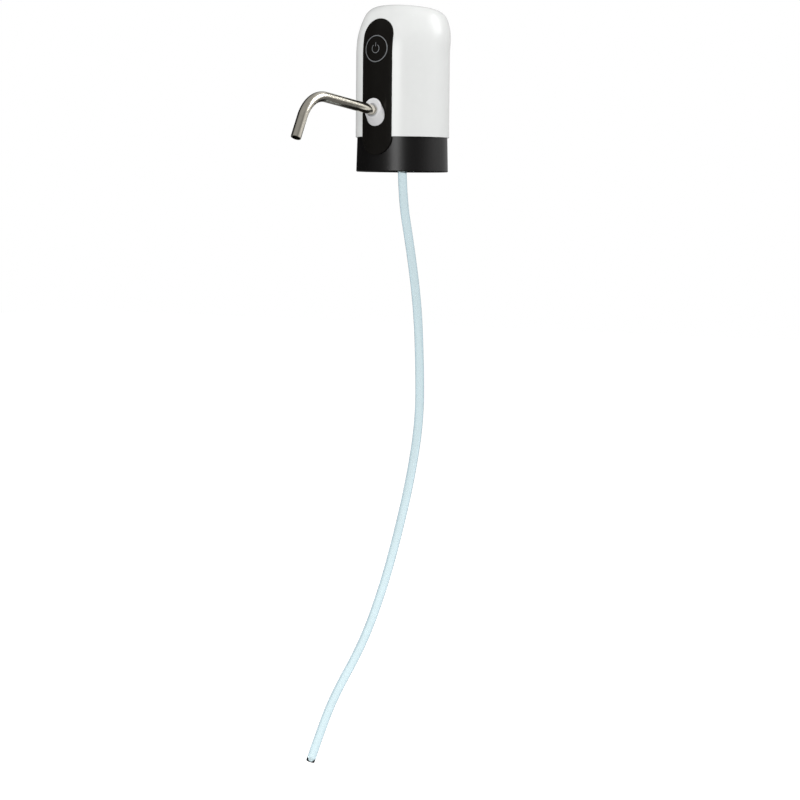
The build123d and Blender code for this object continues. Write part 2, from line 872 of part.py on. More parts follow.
# Pump head: cover with inlet and outlet, valve plate, valves, diaphragm, case and the screws that clamp them
def pump_screws_at(height):
    """Places of the pump head's screws, on a level plane."""
    return [
        pump_plane.offset(height) * Location((pump_screw_circle * cos(angle), pump_screw_circle * sin(angle)))
        for angle in [radians(pump_screw_angle + 120 * number) for number in range(screw_count)]
    ]


outlet_root = -(spout_front + channel_y + outlet_root_depth)
with BuildPart() as pump_cover:
    with BuildSketch(pump_plane.offset(cover_base)):
        Circle(pump_radius)
    extrude(amount=cover_height)
    add(barbed_stem(Plane((0, 0, cover_base), z_dir=(0, 0, -1)), cover_stem))
    add(barbed_stem(spout_plane.offset(outlet_root), outlet_stem))
    with BuildSketch(pump_plane.offset(valve_base - inlet_ring_depth)):
        Circle(inlet_ring_outer)
        Circle(inlet_ring_inner, mode=Mode.SUBTRACT)
    extrude(amount=inlet_ring_depth, mode=Mode.SUBTRACT)
    with BuildSketch(pump_plane.offset(channel_height - 1.2 * channel_radius)):
        Circle(outlet_pit_radius)
    extrude(amount=cover_height, mode=Mode.SUBTRACT)
    with BuildSketch(Plane.XY.offset(cover_base - cover_stem)):
        Circle(stem_bore)
    extrude(amount=cover_stem + cover_height - inlet_ring_depth / 2, mode=Mode.SUBTRACT)
    with BuildSketch(front_plane(pump_y)):
        with Locations((channel_x, channel_height)):
            Circle(channel_radius)
    extrude(amount=pump_y - channel_y + channel_radius, mode=Mode.SUBTRACT)
    with BuildSketch(Plane.YZ.offset(channel_x)):
        with Locations((channel_y, channel_height)):
            Circle(channel_radius - 0.2)
    extrude(amount=-channel_x, mode=Mode.SUBTRACT)
    with BuildSketch(spout_plane.offset(outlet_root)):
        Circle(stem_bore)
    extrude(amount=2 * outlet_stem, mode=Mode.SUBTRACT)
    with Locations(pump_screws_at(cover_base)):
        Cylinder(pump_screw_radius + fit_gap, 3 * cover_height, mode=Mode.SUBTRACT)
        Cylinder(pump_screw_head + fit_gap, 2 * pump_screw_sink, mode=Mode.SUBTRACT)
pump_cover.part.label = "pump_cover"
export_step(pump_cover.part, "parts/pump_cover.step")

with BuildPart() as valve_plate:
    with BuildSketch(pump_plane.offset(valve_base)):
        Circle(pump_radius)
        Circle(valve_stem, mode=Mode.SUBTRACT)
        with PolarLocations(inlet_valve_circle, chamber_count, start_angle=chamber_angle):
            Circle(valve_stem, mode=Mode.SUBTRACT)
            with PolarLocations(2 * valve_stem, 4):
                Circle(flow_hole, mode=Mode.SUBTRACT)
        with PolarLocations(outlet_hole_circle, chamber_count, start_angle=chamber_angle):
            Circle(flow_hole, mode=Mode.SUBTRACT)
        with PolarLocations(pump_screw_circle, screw_count, start_angle=pump_screw_angle):
            Circle(pump_screw_radius + fit_gap, mode=Mode.SUBTRACT)
    extrude(amount=valve_plate_height)
valve_plate.part.label = "valve_plate"
export_step(valve_plate.part, "parts/valve_plate.step")

with BuildPart() as inlet_valves:
    with BuildSketch(pump_plane.offset(valve_base - 2 * valve_lip)):
        with PolarLocations(inlet_valve_circle, chamber_count, start_angle=chamber_angle):
            Circle(valve_stem)
    extrude(amount=valve_plate_height + 3 * valve_lip)
    with BuildSketch(pump_plane.offset(diaphragm_base)):
        with PolarLocations(inlet_valve_circle, chamber_count, start_angle=chamber_angle):
            Circle(inlet_valve_radius)
    extrude(amount=valve_lip, taper=30)
    with BuildSketch(pump_plane.offset(valve_base - valve_lip)):
        with PolarLocations(inlet_valve_circle, chamber_count, start_angle=chamber_angle):
            Circle(1.4 * valve_stem)
    extrude(amount=valve_lip)
inlet_valves.part.label = "inlet_valves"
export_step(inlet_valves.part, "parts/inlet_valves.step")

with BuildPart() as outlet_valve:
    with BuildSketch(pump_plane.offset(valve_base)):
        Circle(outlet_valve_radius)
    extrude(amount=-valve_lip, taper=30)
    with BuildSketch(pump_plane.offset(valve_base - 2 * valve_lip)):
        Circle(valve_stem)
    extrude(amount=valve_plate_height + 4 * valve_lip)
    with BuildSketch(pump_plane.offset(diaphragm_base)):
        Circle(2 * valve_stem)
    extrude(amount=valve_lip)
outlet_valve.part.label = "outlet_valve"
export_step(outlet_valve.part, "parts/outlet_valve.step")

chamber_top = case_base + chamber_height
with BuildPart() as diaphragm:
    with BuildSketch(pump_plane.offset(diaphragm_base)):
        Circle(pump_radius)
        Circle(3 * valve_stem, mode=Mode.SUBTRACT)
        with PolarLocations(pump_screw_circle, screw_count, start_angle=pump_screw_angle):
            Circle(pump_screw_radius + fit_gap, mode=Mode.SUBTRACT)
    extrude(amount=diaphragm_flange)
    with BuildSketch(pump_plane.offset(diaphragm_base)):
        with PolarLocations(chamber_circle, chamber_count, start_angle=chamber_angle):
            Circle(chamber_radius)
    extrude(amount=chamber_top - diaphragm_base)
    rims = diaphragm.edges().filter_by(GeomType.CIRCLE).group_by(Axis.Z)[-1]
    fillet(rims, 1.2)
    with BuildSketch(pump_plane.offset(chamber_top)):
        with PolarLocations(chamber_circle, chamber_count, start_angle=chamber_angle):
            Circle(1.8 * nub_radius)
    extrude(amount=yoke_base - chamber_top)
    with BuildSketch(pump_plane.offset(yoke_base)):
        with PolarLocations(chamber_circle, chamber_count, start_angle=chamber_angle):
            Circle(nub_radius)
    extrude(amount=yoke_height)
    with BuildSketch(pump_plane.offset(yoke_base + yoke_height)):
        with PolarLocations(chamber_circle, chamber_count, start_angle=chamber_angle):
            Circle(nub_head)
    extrude(amount=nub_head, taper=20)
    with BuildSketch(pump_plane.offset(diaphragm_base)):
        with PolarLocations(chamber_circle, chamber_count, start_angle=chamber_angle):
            Circle(chamber_radius - chamber_wall)
    extrude(amount=chamber_top - chamber_wall - diaphragm_base, mode=Mode.SUBTRACT)
diaphragm.part.label = "diaphragm"
export_step(diaphragm.part, "parts/diaphragm.step")

with BuildPart() as wobble_yoke:
    with BuildSketch(pump_plane.offset(yoke_base)):
        Circle(yoke_hub)
        with PolarLocations(chamber_circle / 2, chamber_count, start_angle=chamber_angle):
            Rectangle(chamber_circle, yoke_arm)
        with PolarLocations(chamber_circle, chamber_count, start_angle=chamber_angle):
            Circle(yoke_pad)
            Circle(nub_radius, mode=Mode.SUBTRACT)
        Circle(cam_offset + 2 * pin_radius + fit_gap, mode=Mode.SUBTRACT)
    extrude(amount=yoke_height)
wobble_yoke.part.label = "wobble_yoke"
export_step(wobble_yoke.part, "parts/wobble_yoke.step")

with BuildPart() as pump_case:
    with BuildSketch(pump_plane.offset(case_base)):
        Circle(pump_radius)
    extrude(amount=case_height)
    with BuildSketch(pump_plane.offset(case_base + case_wall)):
        Circle(pump_radius - case_wall)
    extrude(amount=case_height - 2 * case_wall, mode=Mode.SUBTRACT)
    with BuildSketch(pump_plane.offset(case_base)):
        with PolarLocations(pump_screw_circle, screw_count, start_angle=pump_screw_angle):
            Circle(screw_post)
        Circle(pump_radius, mode=Mode.INTERSECT)
    extrude(amount=case_height)
    with BuildSketch(pump_plane.offset(case_base)):
        with PolarLocations(chamber_circle, chamber_count, start_angle=chamber_angle):
            Circle(chamber_radius + fit_gap)
        Circle(3 * valve_stem)
    extrude(amount=case_wall, mode=Mode.SUBTRACT)
    with BuildSketch(pump_plane.offset(motor_base - case_wall)):
        Circle(bearing_radius + motor_wall + fit_gap)
        with PolarLocations(motor_screw_circle, 2, start_angle=motor_screw_angle):
            Circle(motor_screw_radius + fit_gap)
    extrude(amount=case_wall, mode=Mode.SUBTRACT)
    with Locations(pump_screws_at(case_base)):
        Cylinder(
            pump_screw_radius,
            cover_base + pump_screw_sink + pump_screw_length - case_base,
            align=(Align.CENTER, Align.CENTER, Align.MIN),
            mode=Mode.SUBTRACT,
        )
pump_case.part.label = "pump_case"
export_step(pump_case.part, "parts/pump_case.step")

with BuildPart() as pump_screws:
    with Locations(pump_screws_at(cover_base)):
        Cylinder(pump_screw_head, pump_screw_sink, align=(Align.CENTER, Align.CENTER, Align.MIN))
    with Locations(pump_screws_at(cover_base + pump_screw_sink)):
        Cylinder(pump_screw_radius, pump_screw_length, align=(Align.CENTER, Align.CENTER, Align.MIN))
    with Locations(pump_screws_at(cover_base)):
        Box(pump_screw_slot, pump_slot_width, 2 * pump_slot_depth, mode=Mode.SUBTRACT)
        Box(pump_slot_width, pump_screw_slot, 2 * pump_slot_depth, mode=Mode.SUBTRACT)
pump_screws.part.label = "pump_screws"
export_step(pump_screws.part, "parts/pump_screws.step")


# Tube from the pump's outlet to the socket
outlet_tube_start = outlet_root + outlet_tube_gap
with BuildPart() as outlet_tube:
    with BuildSketch(spout_plane.offset(outlet_tube_start)):
        Circle(hose_radius)
        Circle(hose_bore, mode=Mode.SUBTRACT)
    extrude(amount=-shank_end - seat_gap - outlet_tube_start)
outlet_tube.part.label = "outlet_tube"
export_step(outlet_tube.part, "parts/outlet_tube.step")


# Motor: can, end cap, magnets, bearings, brushes, terminals and a rubber sleeve round it
with BuildPart() as motor_can:
    with BuildSketch(pump_plane.offset(motor_base)):
        Circle(motor_radius)
    extrude(amount=motor_length)
    with BuildSketch(pump_plane.offset(motor_base - boss_height)):
        Circle(bearing_radius + motor_wall)
    extrude(amount=boss_height)
    with BuildSketch(pump_plane.offset(motor_base + motor_wall)):
        Circle(motor_radius - motor_wall)
    extrude(amount=motor_length, mode=Mode.SUBTRACT)
    with BuildSketch(pump_plane.offset(motor_base - boss_height)):
        Circle(bearing_radius)
    extrude(amount=motor_length, mode=Mode.SUBTRACT)
    with BuildSketch(pump_plane.offset(motor_base)):
        with PolarLocations(motor_screw_circle, 2, start_angle=motor_screw_angle):
            Circle(motor_screw_radius)
    extrude(amount=motor_wall, mode=Mode.SUBTRACT)
motor_can.part.label = "motor_can"
export_step(motor_can.part, "parts/motor_can.step")

with BuildPart() as motor_screws:
    with BuildSketch(pump_plane.offset(motor_base - case_wall - motor_screw_sink)):
        with PolarLocations(motor_screw_circle, 2, start_angle=motor_screw_angle):
            Circle(motor_screw_head)
    extrude(amount=motor_screw_sink)
    with BuildSketch(pump_plane.offset(motor_base - case_wall)):
        with PolarLocations(motor_screw_circle, 2, start_angle=motor_screw_angle):
            Circle(motor_screw_radius)
    extrude(amount=case_wall + motor_screw_reach)
    with BuildSketch(pump_plane.offset(motor_base - case_wall - motor_screw_sink)):
        with PolarLocations(motor_screw_circle, 2, start_angle=motor_screw_angle):
            Rectangle(2 * motor_screw_radius, screw_slot_width)
            Rectangle(screw_slot_width, 2 * motor_screw_radius)
    extrude(amount=motor_screw_sink / 2, mode=Mode.SUBTRACT)
motor_screws.part.label = "motor_screws"
export_step(motor_screws.part, "parts/motor_screws.step")

cap_plug = motor_cap_base - cap_plug_depth
with BuildPart() as motor_end_cap:
    with BuildSketch(pump_plane.offset(motor_cap_base)):
        Circle(motor_radius)
    extrude(amount=cap_plug_depth)
    with BuildSketch(pump_plane.offset(cap_plug)):
        Circle(motor_radius - motor_wall)
        Circle(terminal_place + terminal_wall + 1.0, mode=Mode.SUBTRACT)
    extrude(amount=cap_plug_depth)
    with BuildSketch(pump_plane.offset(motor_cap_base)):
        Circle(bearing_radius + 1.5)
    extrude(amount=motor_cap_height)
    with BuildSketch(pump_plane.offset(motor_cap_base)):
        Circle(bearing_radius)
    extrude(amount=cap_bearing_lift + bearing_length, mode=Mode.SUBTRACT)
    with BuildSketch(pump_plane.offset(motor_cap_base)):
        with PolarLocations(terminal_place + terminal_wall / 2, 2):
            Rectangle(terminal_wall, terminal_width)
    extrude(amount=motor_cap_height, mode=Mode.SUBTRACT)
motor_end_cap.part.label = "motor_end_cap"
export_step(motor_end_cap.part, "parts/motor_end_cap.step")

with BuildPart() as motor_magnets:
    with BuildSketch(pump_plane.offset(armature_base - 1)):
        Circle(motor_radius - motor_wall)
        Circle(motor_radius - motor_wall - magnet_wall, mode=Mode.SUBTRACT)
        Rectangle(2 * motor_radius, 2 * motor_radius * cos(radians(magnet_span / 2)), mode=Mode.SUBTRACT)
    extrude(amount=armature_length + 2)
motor_magnets.part.label = "motor_magnets"
export_step(motor_magnets.part, "parts/motor_magnets.step")

with BuildPart() as motor_bearings:
    for level in (motor_base - boss_height, motor_cap_base + cap_bearing_lift):
        with BuildSketch(pump_plane.offset(level)):
            Circle(bearing_radius)
            Circle(shaft_radius + slide_gap, mode=Mode.SUBTRACT)
        extrude(amount=bearing_length)
motor_bearings.part.label = "motor_bearings"
export_step(motor_bearings.part, "parts/motor_bearings.step")

brush_base = armature_base + armature_length + winding_reach + 1.2
with BuildPart() as motor_brushes:
    with BuildSketch(pump_plane.offset(brush_base)):
        with PolarLocations((commutator_radius + terminal_place) / 2, 2):
            Rectangle(terminal_place - commutator_radius, 2.2)
        Circle(commutator_radius + slide_gap, mode=Mode.SUBTRACT)
    extrude(amount=1.8)
motor_brushes.part.label = "motor_brushes"
export_step(motor_brushes.part, "parts/motor_brushes.step")

with BuildPart() as motor_terminals:
    with BuildSketch(pump_plane.offset(brush_base - 0.6)):
        with PolarLocations(terminal_place + terminal_wall / 2, 2):
            Rectangle(terminal_wall, terminal_width)
    extrude(amount=motor_top + terminal_reach - brush_base + 0.6)
motor_terminals.part.label = "motor_terminals"
export_step(motor_terminals.part, "parts/motor_terminals.step")

with BuildPart() as motor_damper:
    with BuildSketch(pump_plane.offset(frame_height - damper_length)):
        Circle(frame_bore)
        Circle(motor_radius, mode=Mode.SUBTRACT)
    extrude(amount=damper_length)
motor_damper.part.label = "motor_damper"
export_step(motor_damper.part, "parts/motor_damper.step")


# Rotor: shaft, armature with its windings, commutator, and the cam with its pin below the motor
with BuildPart() as motor_shaft:
    with BuildSketch(pump_plane.offset(cam_base)):
        Circle(shaft_radius)
    extrude(amount=motor_cap_base + cap_bearing_lift + bearing_length - cam_base - seat_gap)
motor_shaft.part.label = "motor_shaft"
export_step(motor_shaft.part, "parts/motor_shaft.step")

armature_radius = motor_radius - motor_wall - magnet_wall - air_gap
with BuildSketch() as pole_gaps:
    Circle(armature_radius - pole_shoe)
    with PolarLocations(armature_radius / 2, 3):
        Rectangle(armature_radius, pole_width, mode=Mode.SUBTRACT)
    Circle(pole_root, mode=Mode.SUBTRACT)
    with PolarLocations((armature_radius + pole_root) / 2, 3, start_angle=60):
        Rectangle(armature_radius, pole_slot)

with BuildPart() as motor_armature:
    with BuildSketch(pump_plane.offset(armature_base)):
        Circle(armature_radius)
        add(pole_gaps.sketch, mode=Mode.SUBTRACT)
        Circle(shaft_radius, mode=Mode.SUBTRACT)
    extrude(amount=armature_length)
motor_armature.part.label = "motor_armature"
export_step(motor_armature.part, "parts/motor_armature.step")

with BuildPart() as motor_windings:
    with BuildSketch(pump_plane.offset(armature_base - winding_reach)):
        Circle(armature_radius - pole_shoe)
        Circle(pole_root, mode=Mode.SUBTRACT)
    extrude(amount=armature_length + 2 * winding_reach)
    with BuildSketch(pump_plane.offset(armature_base - winding_reach)):
        with PolarLocations((armature_radius + pole_root) / 2, 3, start_angle=60):
            Rectangle(armature_radius - pole_root, pole_slot)
    extrude(amount=armature_length + 2 * winding_reach, mode=Mode.SUBTRACT)
    add(motor_armature.part, mode=Mode.SUBTRACT)
motor_windings.part.label = "motor_windings"
export_step(motor_windings.part, "parts/motor_windings.step")

with BuildPart() as motor_commutator:
    with BuildSketch(pump_plane.offset(armature_base + armature_length)):
        Circle(commutator_radius)
        Circle(shaft_radius, mode=Mode.SUBTRACT)
    extrude(amount=winding_reach + commutator_length)
motor_commutator.part.label = "motor_commutator"
export_step(motor_commutator.part, "parts/motor_commutator.step")

with BuildPart() as drive_cam:
    with BuildSketch(pump_plane.offset(cam_base)):
        Circle(cam_radius)
        Circle(shaft_radius, mode=Mode.SUBTRACT)
    extrude(amount=cam_height)
    chamfer(drive_cam.edges().filter_by(GeomType.CIRCLE).sort_by(SortBy.RADIUS)[-2:], 0.5)
    with BuildSketch(pump_plane.offset(cam_base)):
        with Locations((cam_offset + pin_radius, 0)):
            Circle(pin_radius)
    extrude(amount=pin_seat, mode=Mode.SUBTRACT)
drive_cam.part.label = "drive_cam"
export_step(drive_cam.part, "parts/drive_cam.step")

with BuildPart() as cam_pin:
    with BuildSketch(pump_plane.offset(cam_base + pin_seat)):
        with Locations((cam_offset + pin_radius, 0)):
            Circle(pin_radius)
    extrude(amount=-pin_length)
cam_pin.part.label = "cam_pin"
export_step(cam_pin.part, "parts/cam_pin.step")


# Lithium cell
with BuildPart() as battery_cell:
    with BuildSketch(cell_plane.offset(plate_top)):
        Circle(cell_radius)
    extrude(amount=cell_length)
    fillet(battery_cell.edges().filter_by(GeomType.CIRCLE), 0.6)
battery_cell.part.label = "battery_cell"
export_step(battery_cell.part, "parts/battery_cell.step")

with BuildPart() as cell_terminal:
    with BuildSketch(cell_plane.offset(plate_top + cell_length)):
        Circle(cell_button_radius)
    extrude(amount=cell_button_height)
    chamfer(cell_terminal.edges().group_by(Axis.Z)[-1], 0.3)
cell_terminal.part.label = "cell_terminal"
export_step(cell_terminal.part, "parts/cell_terminal.step")


# Control board with the charging socket and the charge light, behind the back wall
with BuildPart() as control_board:
    with BuildSketch(front_plane(board_back)):
        with Locations((0, board_base + board_height / 2)):
            RectangleRounded(board_width, board_height, 0.8)
    extrude(amount=board_thickness)
control_board.part.label = "control_board"
export_step(control_board.part, "parts/control_board.step")

with BuildPart() as board_parts:
    with BuildSketch(front_plane(board_y)):
        with Locations(
            (charge_chip_x, board_base + charge_chip_lift),
            (driver_chip_x, board_base + driver_chip_lift),
        ):
            Rectangle(chip_length, chip_width)
        with Locations(
            (capacitor_x, board_base + capacitor_lift),
            (spare_capacitor_x, board_base + spare_capacitor_lift),
        ):
            Rectangle(capacitor_length, capacitor_width)
    extrude(amount=chip_height)
    with BuildSketch(front_plane(board_y)):
        with Locations((coil_x, board_base + coil_lift)):
            Circle(coil_radius)
    extrude(amount=coil_height)
    with BuildSketch(front_plane(board_y)):
        with Locations((0, board_base + plug_lift)):
            Rectangle(plug_width, plug_height)
        with Locations((button_plug_x, board_base + plug_lift)):
            Rectangle(button_plug_width, plug_height)
    extrude(amount=plug_height)
board_parts.part.label = "board_parts"
export_step(board_parts.part, "parts/board_parts.step")

with BuildPart() as usb_socket:
    with BuildSketch(front_plane(housing_radius - usb_recess)):
        with Locations((0, usb_height)):
            RectangleRounded(usb_width, usb_thickness, usb_corner)
    extrude(amount=housing_radius - usb_recess - board_back)
    with BuildSketch(front_plane(housing_radius - usb_recess)):
        with Locations((0, usb_height)):
            RectangleRounded(
                usb_width - 2 * usb_wall,
                usb_thickness - 2 * usb_wall,
                usb_corner - usb_wall + fit_gap,
            )
    extrude(amount=usb_depth, mode=Mode.SUBTRACT)
usb_socket.part.label = "usb_socket"
export_step(usb_socket.part, "parts/usb_socket.step")

with BuildPart() as usb_tongue:
    with BuildSketch(front_plane(housing_radius - usb_recess - usb_depth)):
        with Locations((0, usb_height)):
            Rectangle(usb_width - 6 * usb_wall, usb_wall * 1.6)
    extrude(amount=-usb_depth + usb_recess)
usb_tongue.part.label = "usb_tongue"
export_step(usb_tongue.part, "parts/usb_tongue.step")

with BuildPart() as charge_lens:
    with BuildSketch(front_plane(board_back + lamp_body)):
        with Locations((0, lamp_height)):
            Circle(lamp_radius)
    extrude(amount=-(housing_radius - seat_gap - board_back - lamp_body))
    with BuildSketch(front_plane(housing_inner - seat_gap)):
        with Locations((0, lamp_height)):
            Circle(lamp_radius + lens_flange_reach)
    extrude(amount=lens_flange)
charge_lens.part.label = "charge_lens"
export_step(charge_lens.part, "parts/charge_lens.step")

with BuildPart() as charge_lamp:
    with BuildSketch(front_plane(board_back + lamp_body)):
        with Locations((0, lamp_height)):
            Rectangle(2 * lamp_radius, 2 * lamp_radius)
    extrude(amount=lamp_body)
charge_lamp.part.label = "charge_lamp"
export_step(charge_lamp.part, "parts/charge_lamp.step")


# Leads: they leave the motor, the cell and the button's board and drop into the plugs on the control board
plug_y = board_y - plug_height / 2
plug_top = board_base + plug_lift + plug_height / 2
terminal_top = motor_top + terminal_reach
terminal_x = terminal_place + terminal_wall / 2
cell_top = plate_top + cell_length
cell_button_top = cell_top + cell_button_height


def upright_lead(x, y, bottom, level, plug_x):
    """Lead that rises from a terminal at (x, y, bottom), crosses at this level and drops into its plug."""
    with BuildPart() as wire:
        with BuildLine():
            FilletPolyline(
                (x, y, bottom),
                (x, y, level),
                (plug_x, plug_y, level),
                (plug_x, plug_y, plug_top),
                radius=lead_bend,
            )
        with BuildSketch(Plane((x, y, bottom))):
            Circle(lead_radius)
        sweep()
    return wire.part


with BuildPart() as motor_lead_red:
    add(upright_lead(
        pump_x + terminal_x, pump_y, terminal_top, terminal_top + motor_lead_rise, -lead_pitch / 2
    ))
motor_lead_red.part.label = "motor_lead_red"
export_step(motor_lead_red.part, "parts/motor_lead_red.step")

with BuildPart() as motor_lead_black:
    add(upright_lead(
        pump_x - terminal_x, pump_y, terminal_top, terminal_top + motor_return_rise, -lead_pitch * 1.5
    ))
motor_lead_black.part.label = "motor_lead_black"
export_step(motor_lead_black.part, "parts/motor_lead_black.step")

with BuildPart() as cell_lead_red:
    add(upright_lead(
        cell_x, cell_y, cell_button_top, cell_button_top + cell_lead_rise, lead_pitch / 2
    ))
cell_lead_red.part.label = "cell_lead_red"
export_step(cell_lead_red.part, "parts/cell_lead_red.step")

with BuildPart() as cell_lead_black:
    add(upright_lead(
        cell_x + cell_return_x,
        cell_y + cell_return_y,
        cell_top,
        cell_top + cell_return_rise,
        lead_pitch * 1.5,
    ))
cell_lead_black.part.label = "cell_lead_black"
export_step(cell_lead_black.part, "parts/cell_lead_black.step")

button_lead_y = board_thickness - button_board_front + slide_gap
button_lead_level = button_height + button_lead_lift
with BuildPart() as button_leads:
    for side in (-lead_pitch / 2, lead_pitch / 2):
        with BuildLine():
            FilletPolyline(
                (button_lead_x + side, button_lead_y, button_lead_level),
                (button_plug_x + side, plug_y, button_lead_level),
                (button_plug_x + side, plug_y, plug_top),
                radius=lead_bend,
            )
        with BuildSketch(Plane((button_plug_x + side, plug_y, plug_top))):
            Circle(lead_radius)
        sweep()
button_leads.part.label = "button_leads"
export_step(button_leads.part, "parts/button_leads.step")


# Suction hose: a silicone tube that hangs from the fitting and curls gently towards its end
def hose_point(along, height, aside):
    """Point of the hose's route in an upright plane through the axis, moved aside from the plane."""
    heading = radians(hose_heading)
    return Vector(
        along * cos(heading) - aside * sin(heading),
        along * sin(heading) + aside * cos(heading),
        height,
    )


hose_points = [hose_point(*point) for point in hose_route]
hose_radii = []
for before, point, after in zip(hose_points, hose_points[1:], hose_points[2:]):
    turn = radians((point - before).get_angle(after - point))
    run = min((point - before).length, (after - point).length)
    hose_radii.append(0.45 * run / tan(turn / 2))

with BuildPart() as suction_hose:
    with BuildLine() as hose_line:
        FilletPolyline(*hose_points, radius=hose_radii)
    with BuildSketch(Plane(hose_points[0], x_dir=(1, 0, 0), z_dir=hose_points[1] - hose_points[0])):
        Circle(hose_radius)
        Circle(hose_bore, mode=Mode.SUBTRACT)
    sweep()
suction_hose.part.label = "suction_hose"
export_step(suction_hose.part, "parts/suction_hose.step")
hose_section = pi * (hose_radius**2 - hose_bore**2)
hose_length = sum(edge.length for edge in hose_line.edges())
print("hose bends", [round(radius) for radius in hose_radii])
print("hose length", round(hose_length, 1))
print("hose volume share", round(suction_hose.part.volume / (hose_section * hose_length), 4))
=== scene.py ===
from math import cos, pi, radians, sin

import bmesh
import bpy
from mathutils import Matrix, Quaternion, Vector
from mathutils.bvhtree import BVHTree


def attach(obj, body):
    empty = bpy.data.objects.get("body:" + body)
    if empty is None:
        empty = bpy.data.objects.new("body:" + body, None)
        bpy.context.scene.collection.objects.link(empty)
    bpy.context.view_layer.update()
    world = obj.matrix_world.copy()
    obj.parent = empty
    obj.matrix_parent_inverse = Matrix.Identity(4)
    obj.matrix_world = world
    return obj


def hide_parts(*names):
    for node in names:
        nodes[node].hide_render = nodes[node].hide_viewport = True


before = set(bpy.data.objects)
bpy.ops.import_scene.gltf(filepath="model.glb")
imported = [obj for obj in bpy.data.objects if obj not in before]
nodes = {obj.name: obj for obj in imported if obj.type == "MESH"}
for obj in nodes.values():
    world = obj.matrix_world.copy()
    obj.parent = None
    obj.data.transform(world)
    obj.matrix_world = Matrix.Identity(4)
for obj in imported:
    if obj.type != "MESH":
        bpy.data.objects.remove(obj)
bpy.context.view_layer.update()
scene = bpy.context.scene
scene.view_settings.view_transform = "Standard"

MM = 0.001
WHITE = (1, 1, 1, 1)

# Camera at the photograph's angle: 35 degrees to the right of the spout, a little below the collar
CAMERA_PLACE = (1.0943, -1.5398, -0.0455)
CAMERA_HEADING = (-0.5793, 0.8151)
CAMERA_TILT = radians(4.69)  # downwards
CAMERA_ROLL = radians(0.5)
CAMERA_LENS = 106.0
SENSOR_WIDTH = 36.0

# Suction hose
HOSE_HEADING = radians(35.4)
HOSE_ROUTE = [  # along the hose's plane, height, aside from the plane, in millimetres
    (0, -2, 0),
    (0, -36, 0),
    (7.5, -80, 1),
    (13.5, -126, 3),
    (15.6, -172, 5),
    (16, -216, 6),
    (9.5, -262, 5),
    (-0.5, -308, 3),
    (-12, -352, 1),
    (-28, -398, -1),
    (-51, -441, -2),
    (-62, -470, -2),
    (-70.5, -496, -2),
]
HOSE_RADIUS = 3.5
HOSE_WALL = 1.0
HOSE_STEPS = 12  # rings from one point of the route to the next
HOSE_ROUNDING = 8  # the tube has 4 sides and 2 more for each of these
HOSE_SHADE = (0.5, 0.68, 0.74, 1)  # tint that the silicone takes on with its depth
HOSE_SHADE_DENSITY = 400

# Mark on the button: an open ring with a bar, printed on the cap
MARK_HEIGHT = 77.7
MARK_RADIUS = 3.3
MARK_LINE = 0.55
MARK_GAP = radians(70)
MARK_SKIN = 0.03
RING_STEPS = 48
BAR_STEPS = 8
CAST_FROM = -60.0  # in front of the housing, where the mark is thrown onto the cap from

# Floor
FLOOR_HEIGHT = -0.505
FLOOR_REACH = 6
FLOOR_COLOUR = (0.5, 0.5, 0.5)
FLOOR_LIFT = 0.75  # extra brightness of the floor as the camera sees it
FLOOR_SHINE = 0.14  # brightness of the floor in a shiny surface

# World: a shiny surface sees it bright behind on the right, dim in front and dark on the left
WORLD_LIGHT = 0.61
BRIGHT_SIDE = (0.335, 0.942, 0)
DARK_SIDE = (-0.986, 0.167, 0)
UPWARDS = (0, 0, 1)


def add_object(name, data):
    """New object at the origin, linked to the scene."""
    thing = bpy.data.objects.new(name, data)
    scene.collection.objects.link(thing)
    return thing


def mesh_of(name, bm):
    """Mesh of a bmesh that is done with."""
    mesh = bpy.data.meshes.new(name)
    bm.to_mesh(mesh)
    bm.free()
    return mesh


def make_camera():
    """Camera of the photograph."""
    data = bpy.data.cameras.new("camera")
    data.sensor_width = SENSOR_WIDTH
    data.lens = CAMERA_LENS
    camera = add_object("camera", data)
    camera.location = CAMERA_PLACE
    look = Vector((*(side * cos(CAMERA_TILT) for side in CAMERA_HEADING), -sin(CAMERA_TILT)))
    camera.rotation_mode = "QUATERNION"
    camera.rotation_quaternion = look.to_track_quat("-Z", "Y") @ Quaternion((0, 0, 1), CAMERA_ROLL)
    return camera


scene.camera = make_camera()


# Suction hose
def hose_point(along, height, aside):
    """Point of the hose's route, in metres."""
    return Vector((
        along * cos(HOSE_HEADING) - aside * sin(HOSE_HEADING),
        along * sin(HOSE_HEADING) + aside * cos(HOSE_HEADING),
        height,
    )) * MM


def hose_line():
    """Smooth line of the hose."""
    curve = bpy.data.curves.new("hose_line", "CURVE")
    curve.dimensions = "3D"
    curve.resolution_u = HOSE_STEPS
    curve.use_fill_caps = False
    spline = curve.splines.new("NURBS")
    spline.points.add(len(HOSE_ROUTE) - 1)
    for point, place in zip(spline.points, HOSE_ROUTE):
        point.co = (*hose_point(*place), 1.0)
    spline.order_u = 3
    spline.use_endpoint_u = True
    return add_object("hose_line", curve)


def line_mesh(line):
    """Mesh of a curve object as it now is."""
    bpy.context.view_layer.update()
    return bpy.data.meshes.new_from_object(line)


line = hose_line()
hose_path = [tuple(vertex.co) for vertex in line_mesh(line).vertices]
line.data.bevel_depth = HOSE_RADIUS * MM
line.data.bevel_resolution = HOSE_ROUNDING
hose = add_object("hose", line_mesh(line))
bpy.data.objects.remove(line)
for polygon in hose.data.polygons:
    polygon.use_smooth = True
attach(hose, "housing")
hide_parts("suction_hose")
wall = hose.modifiers.new("wall", "SOLIDIFY")
wall.thickness = HOSE_WALL * MM
wall.offset = -1


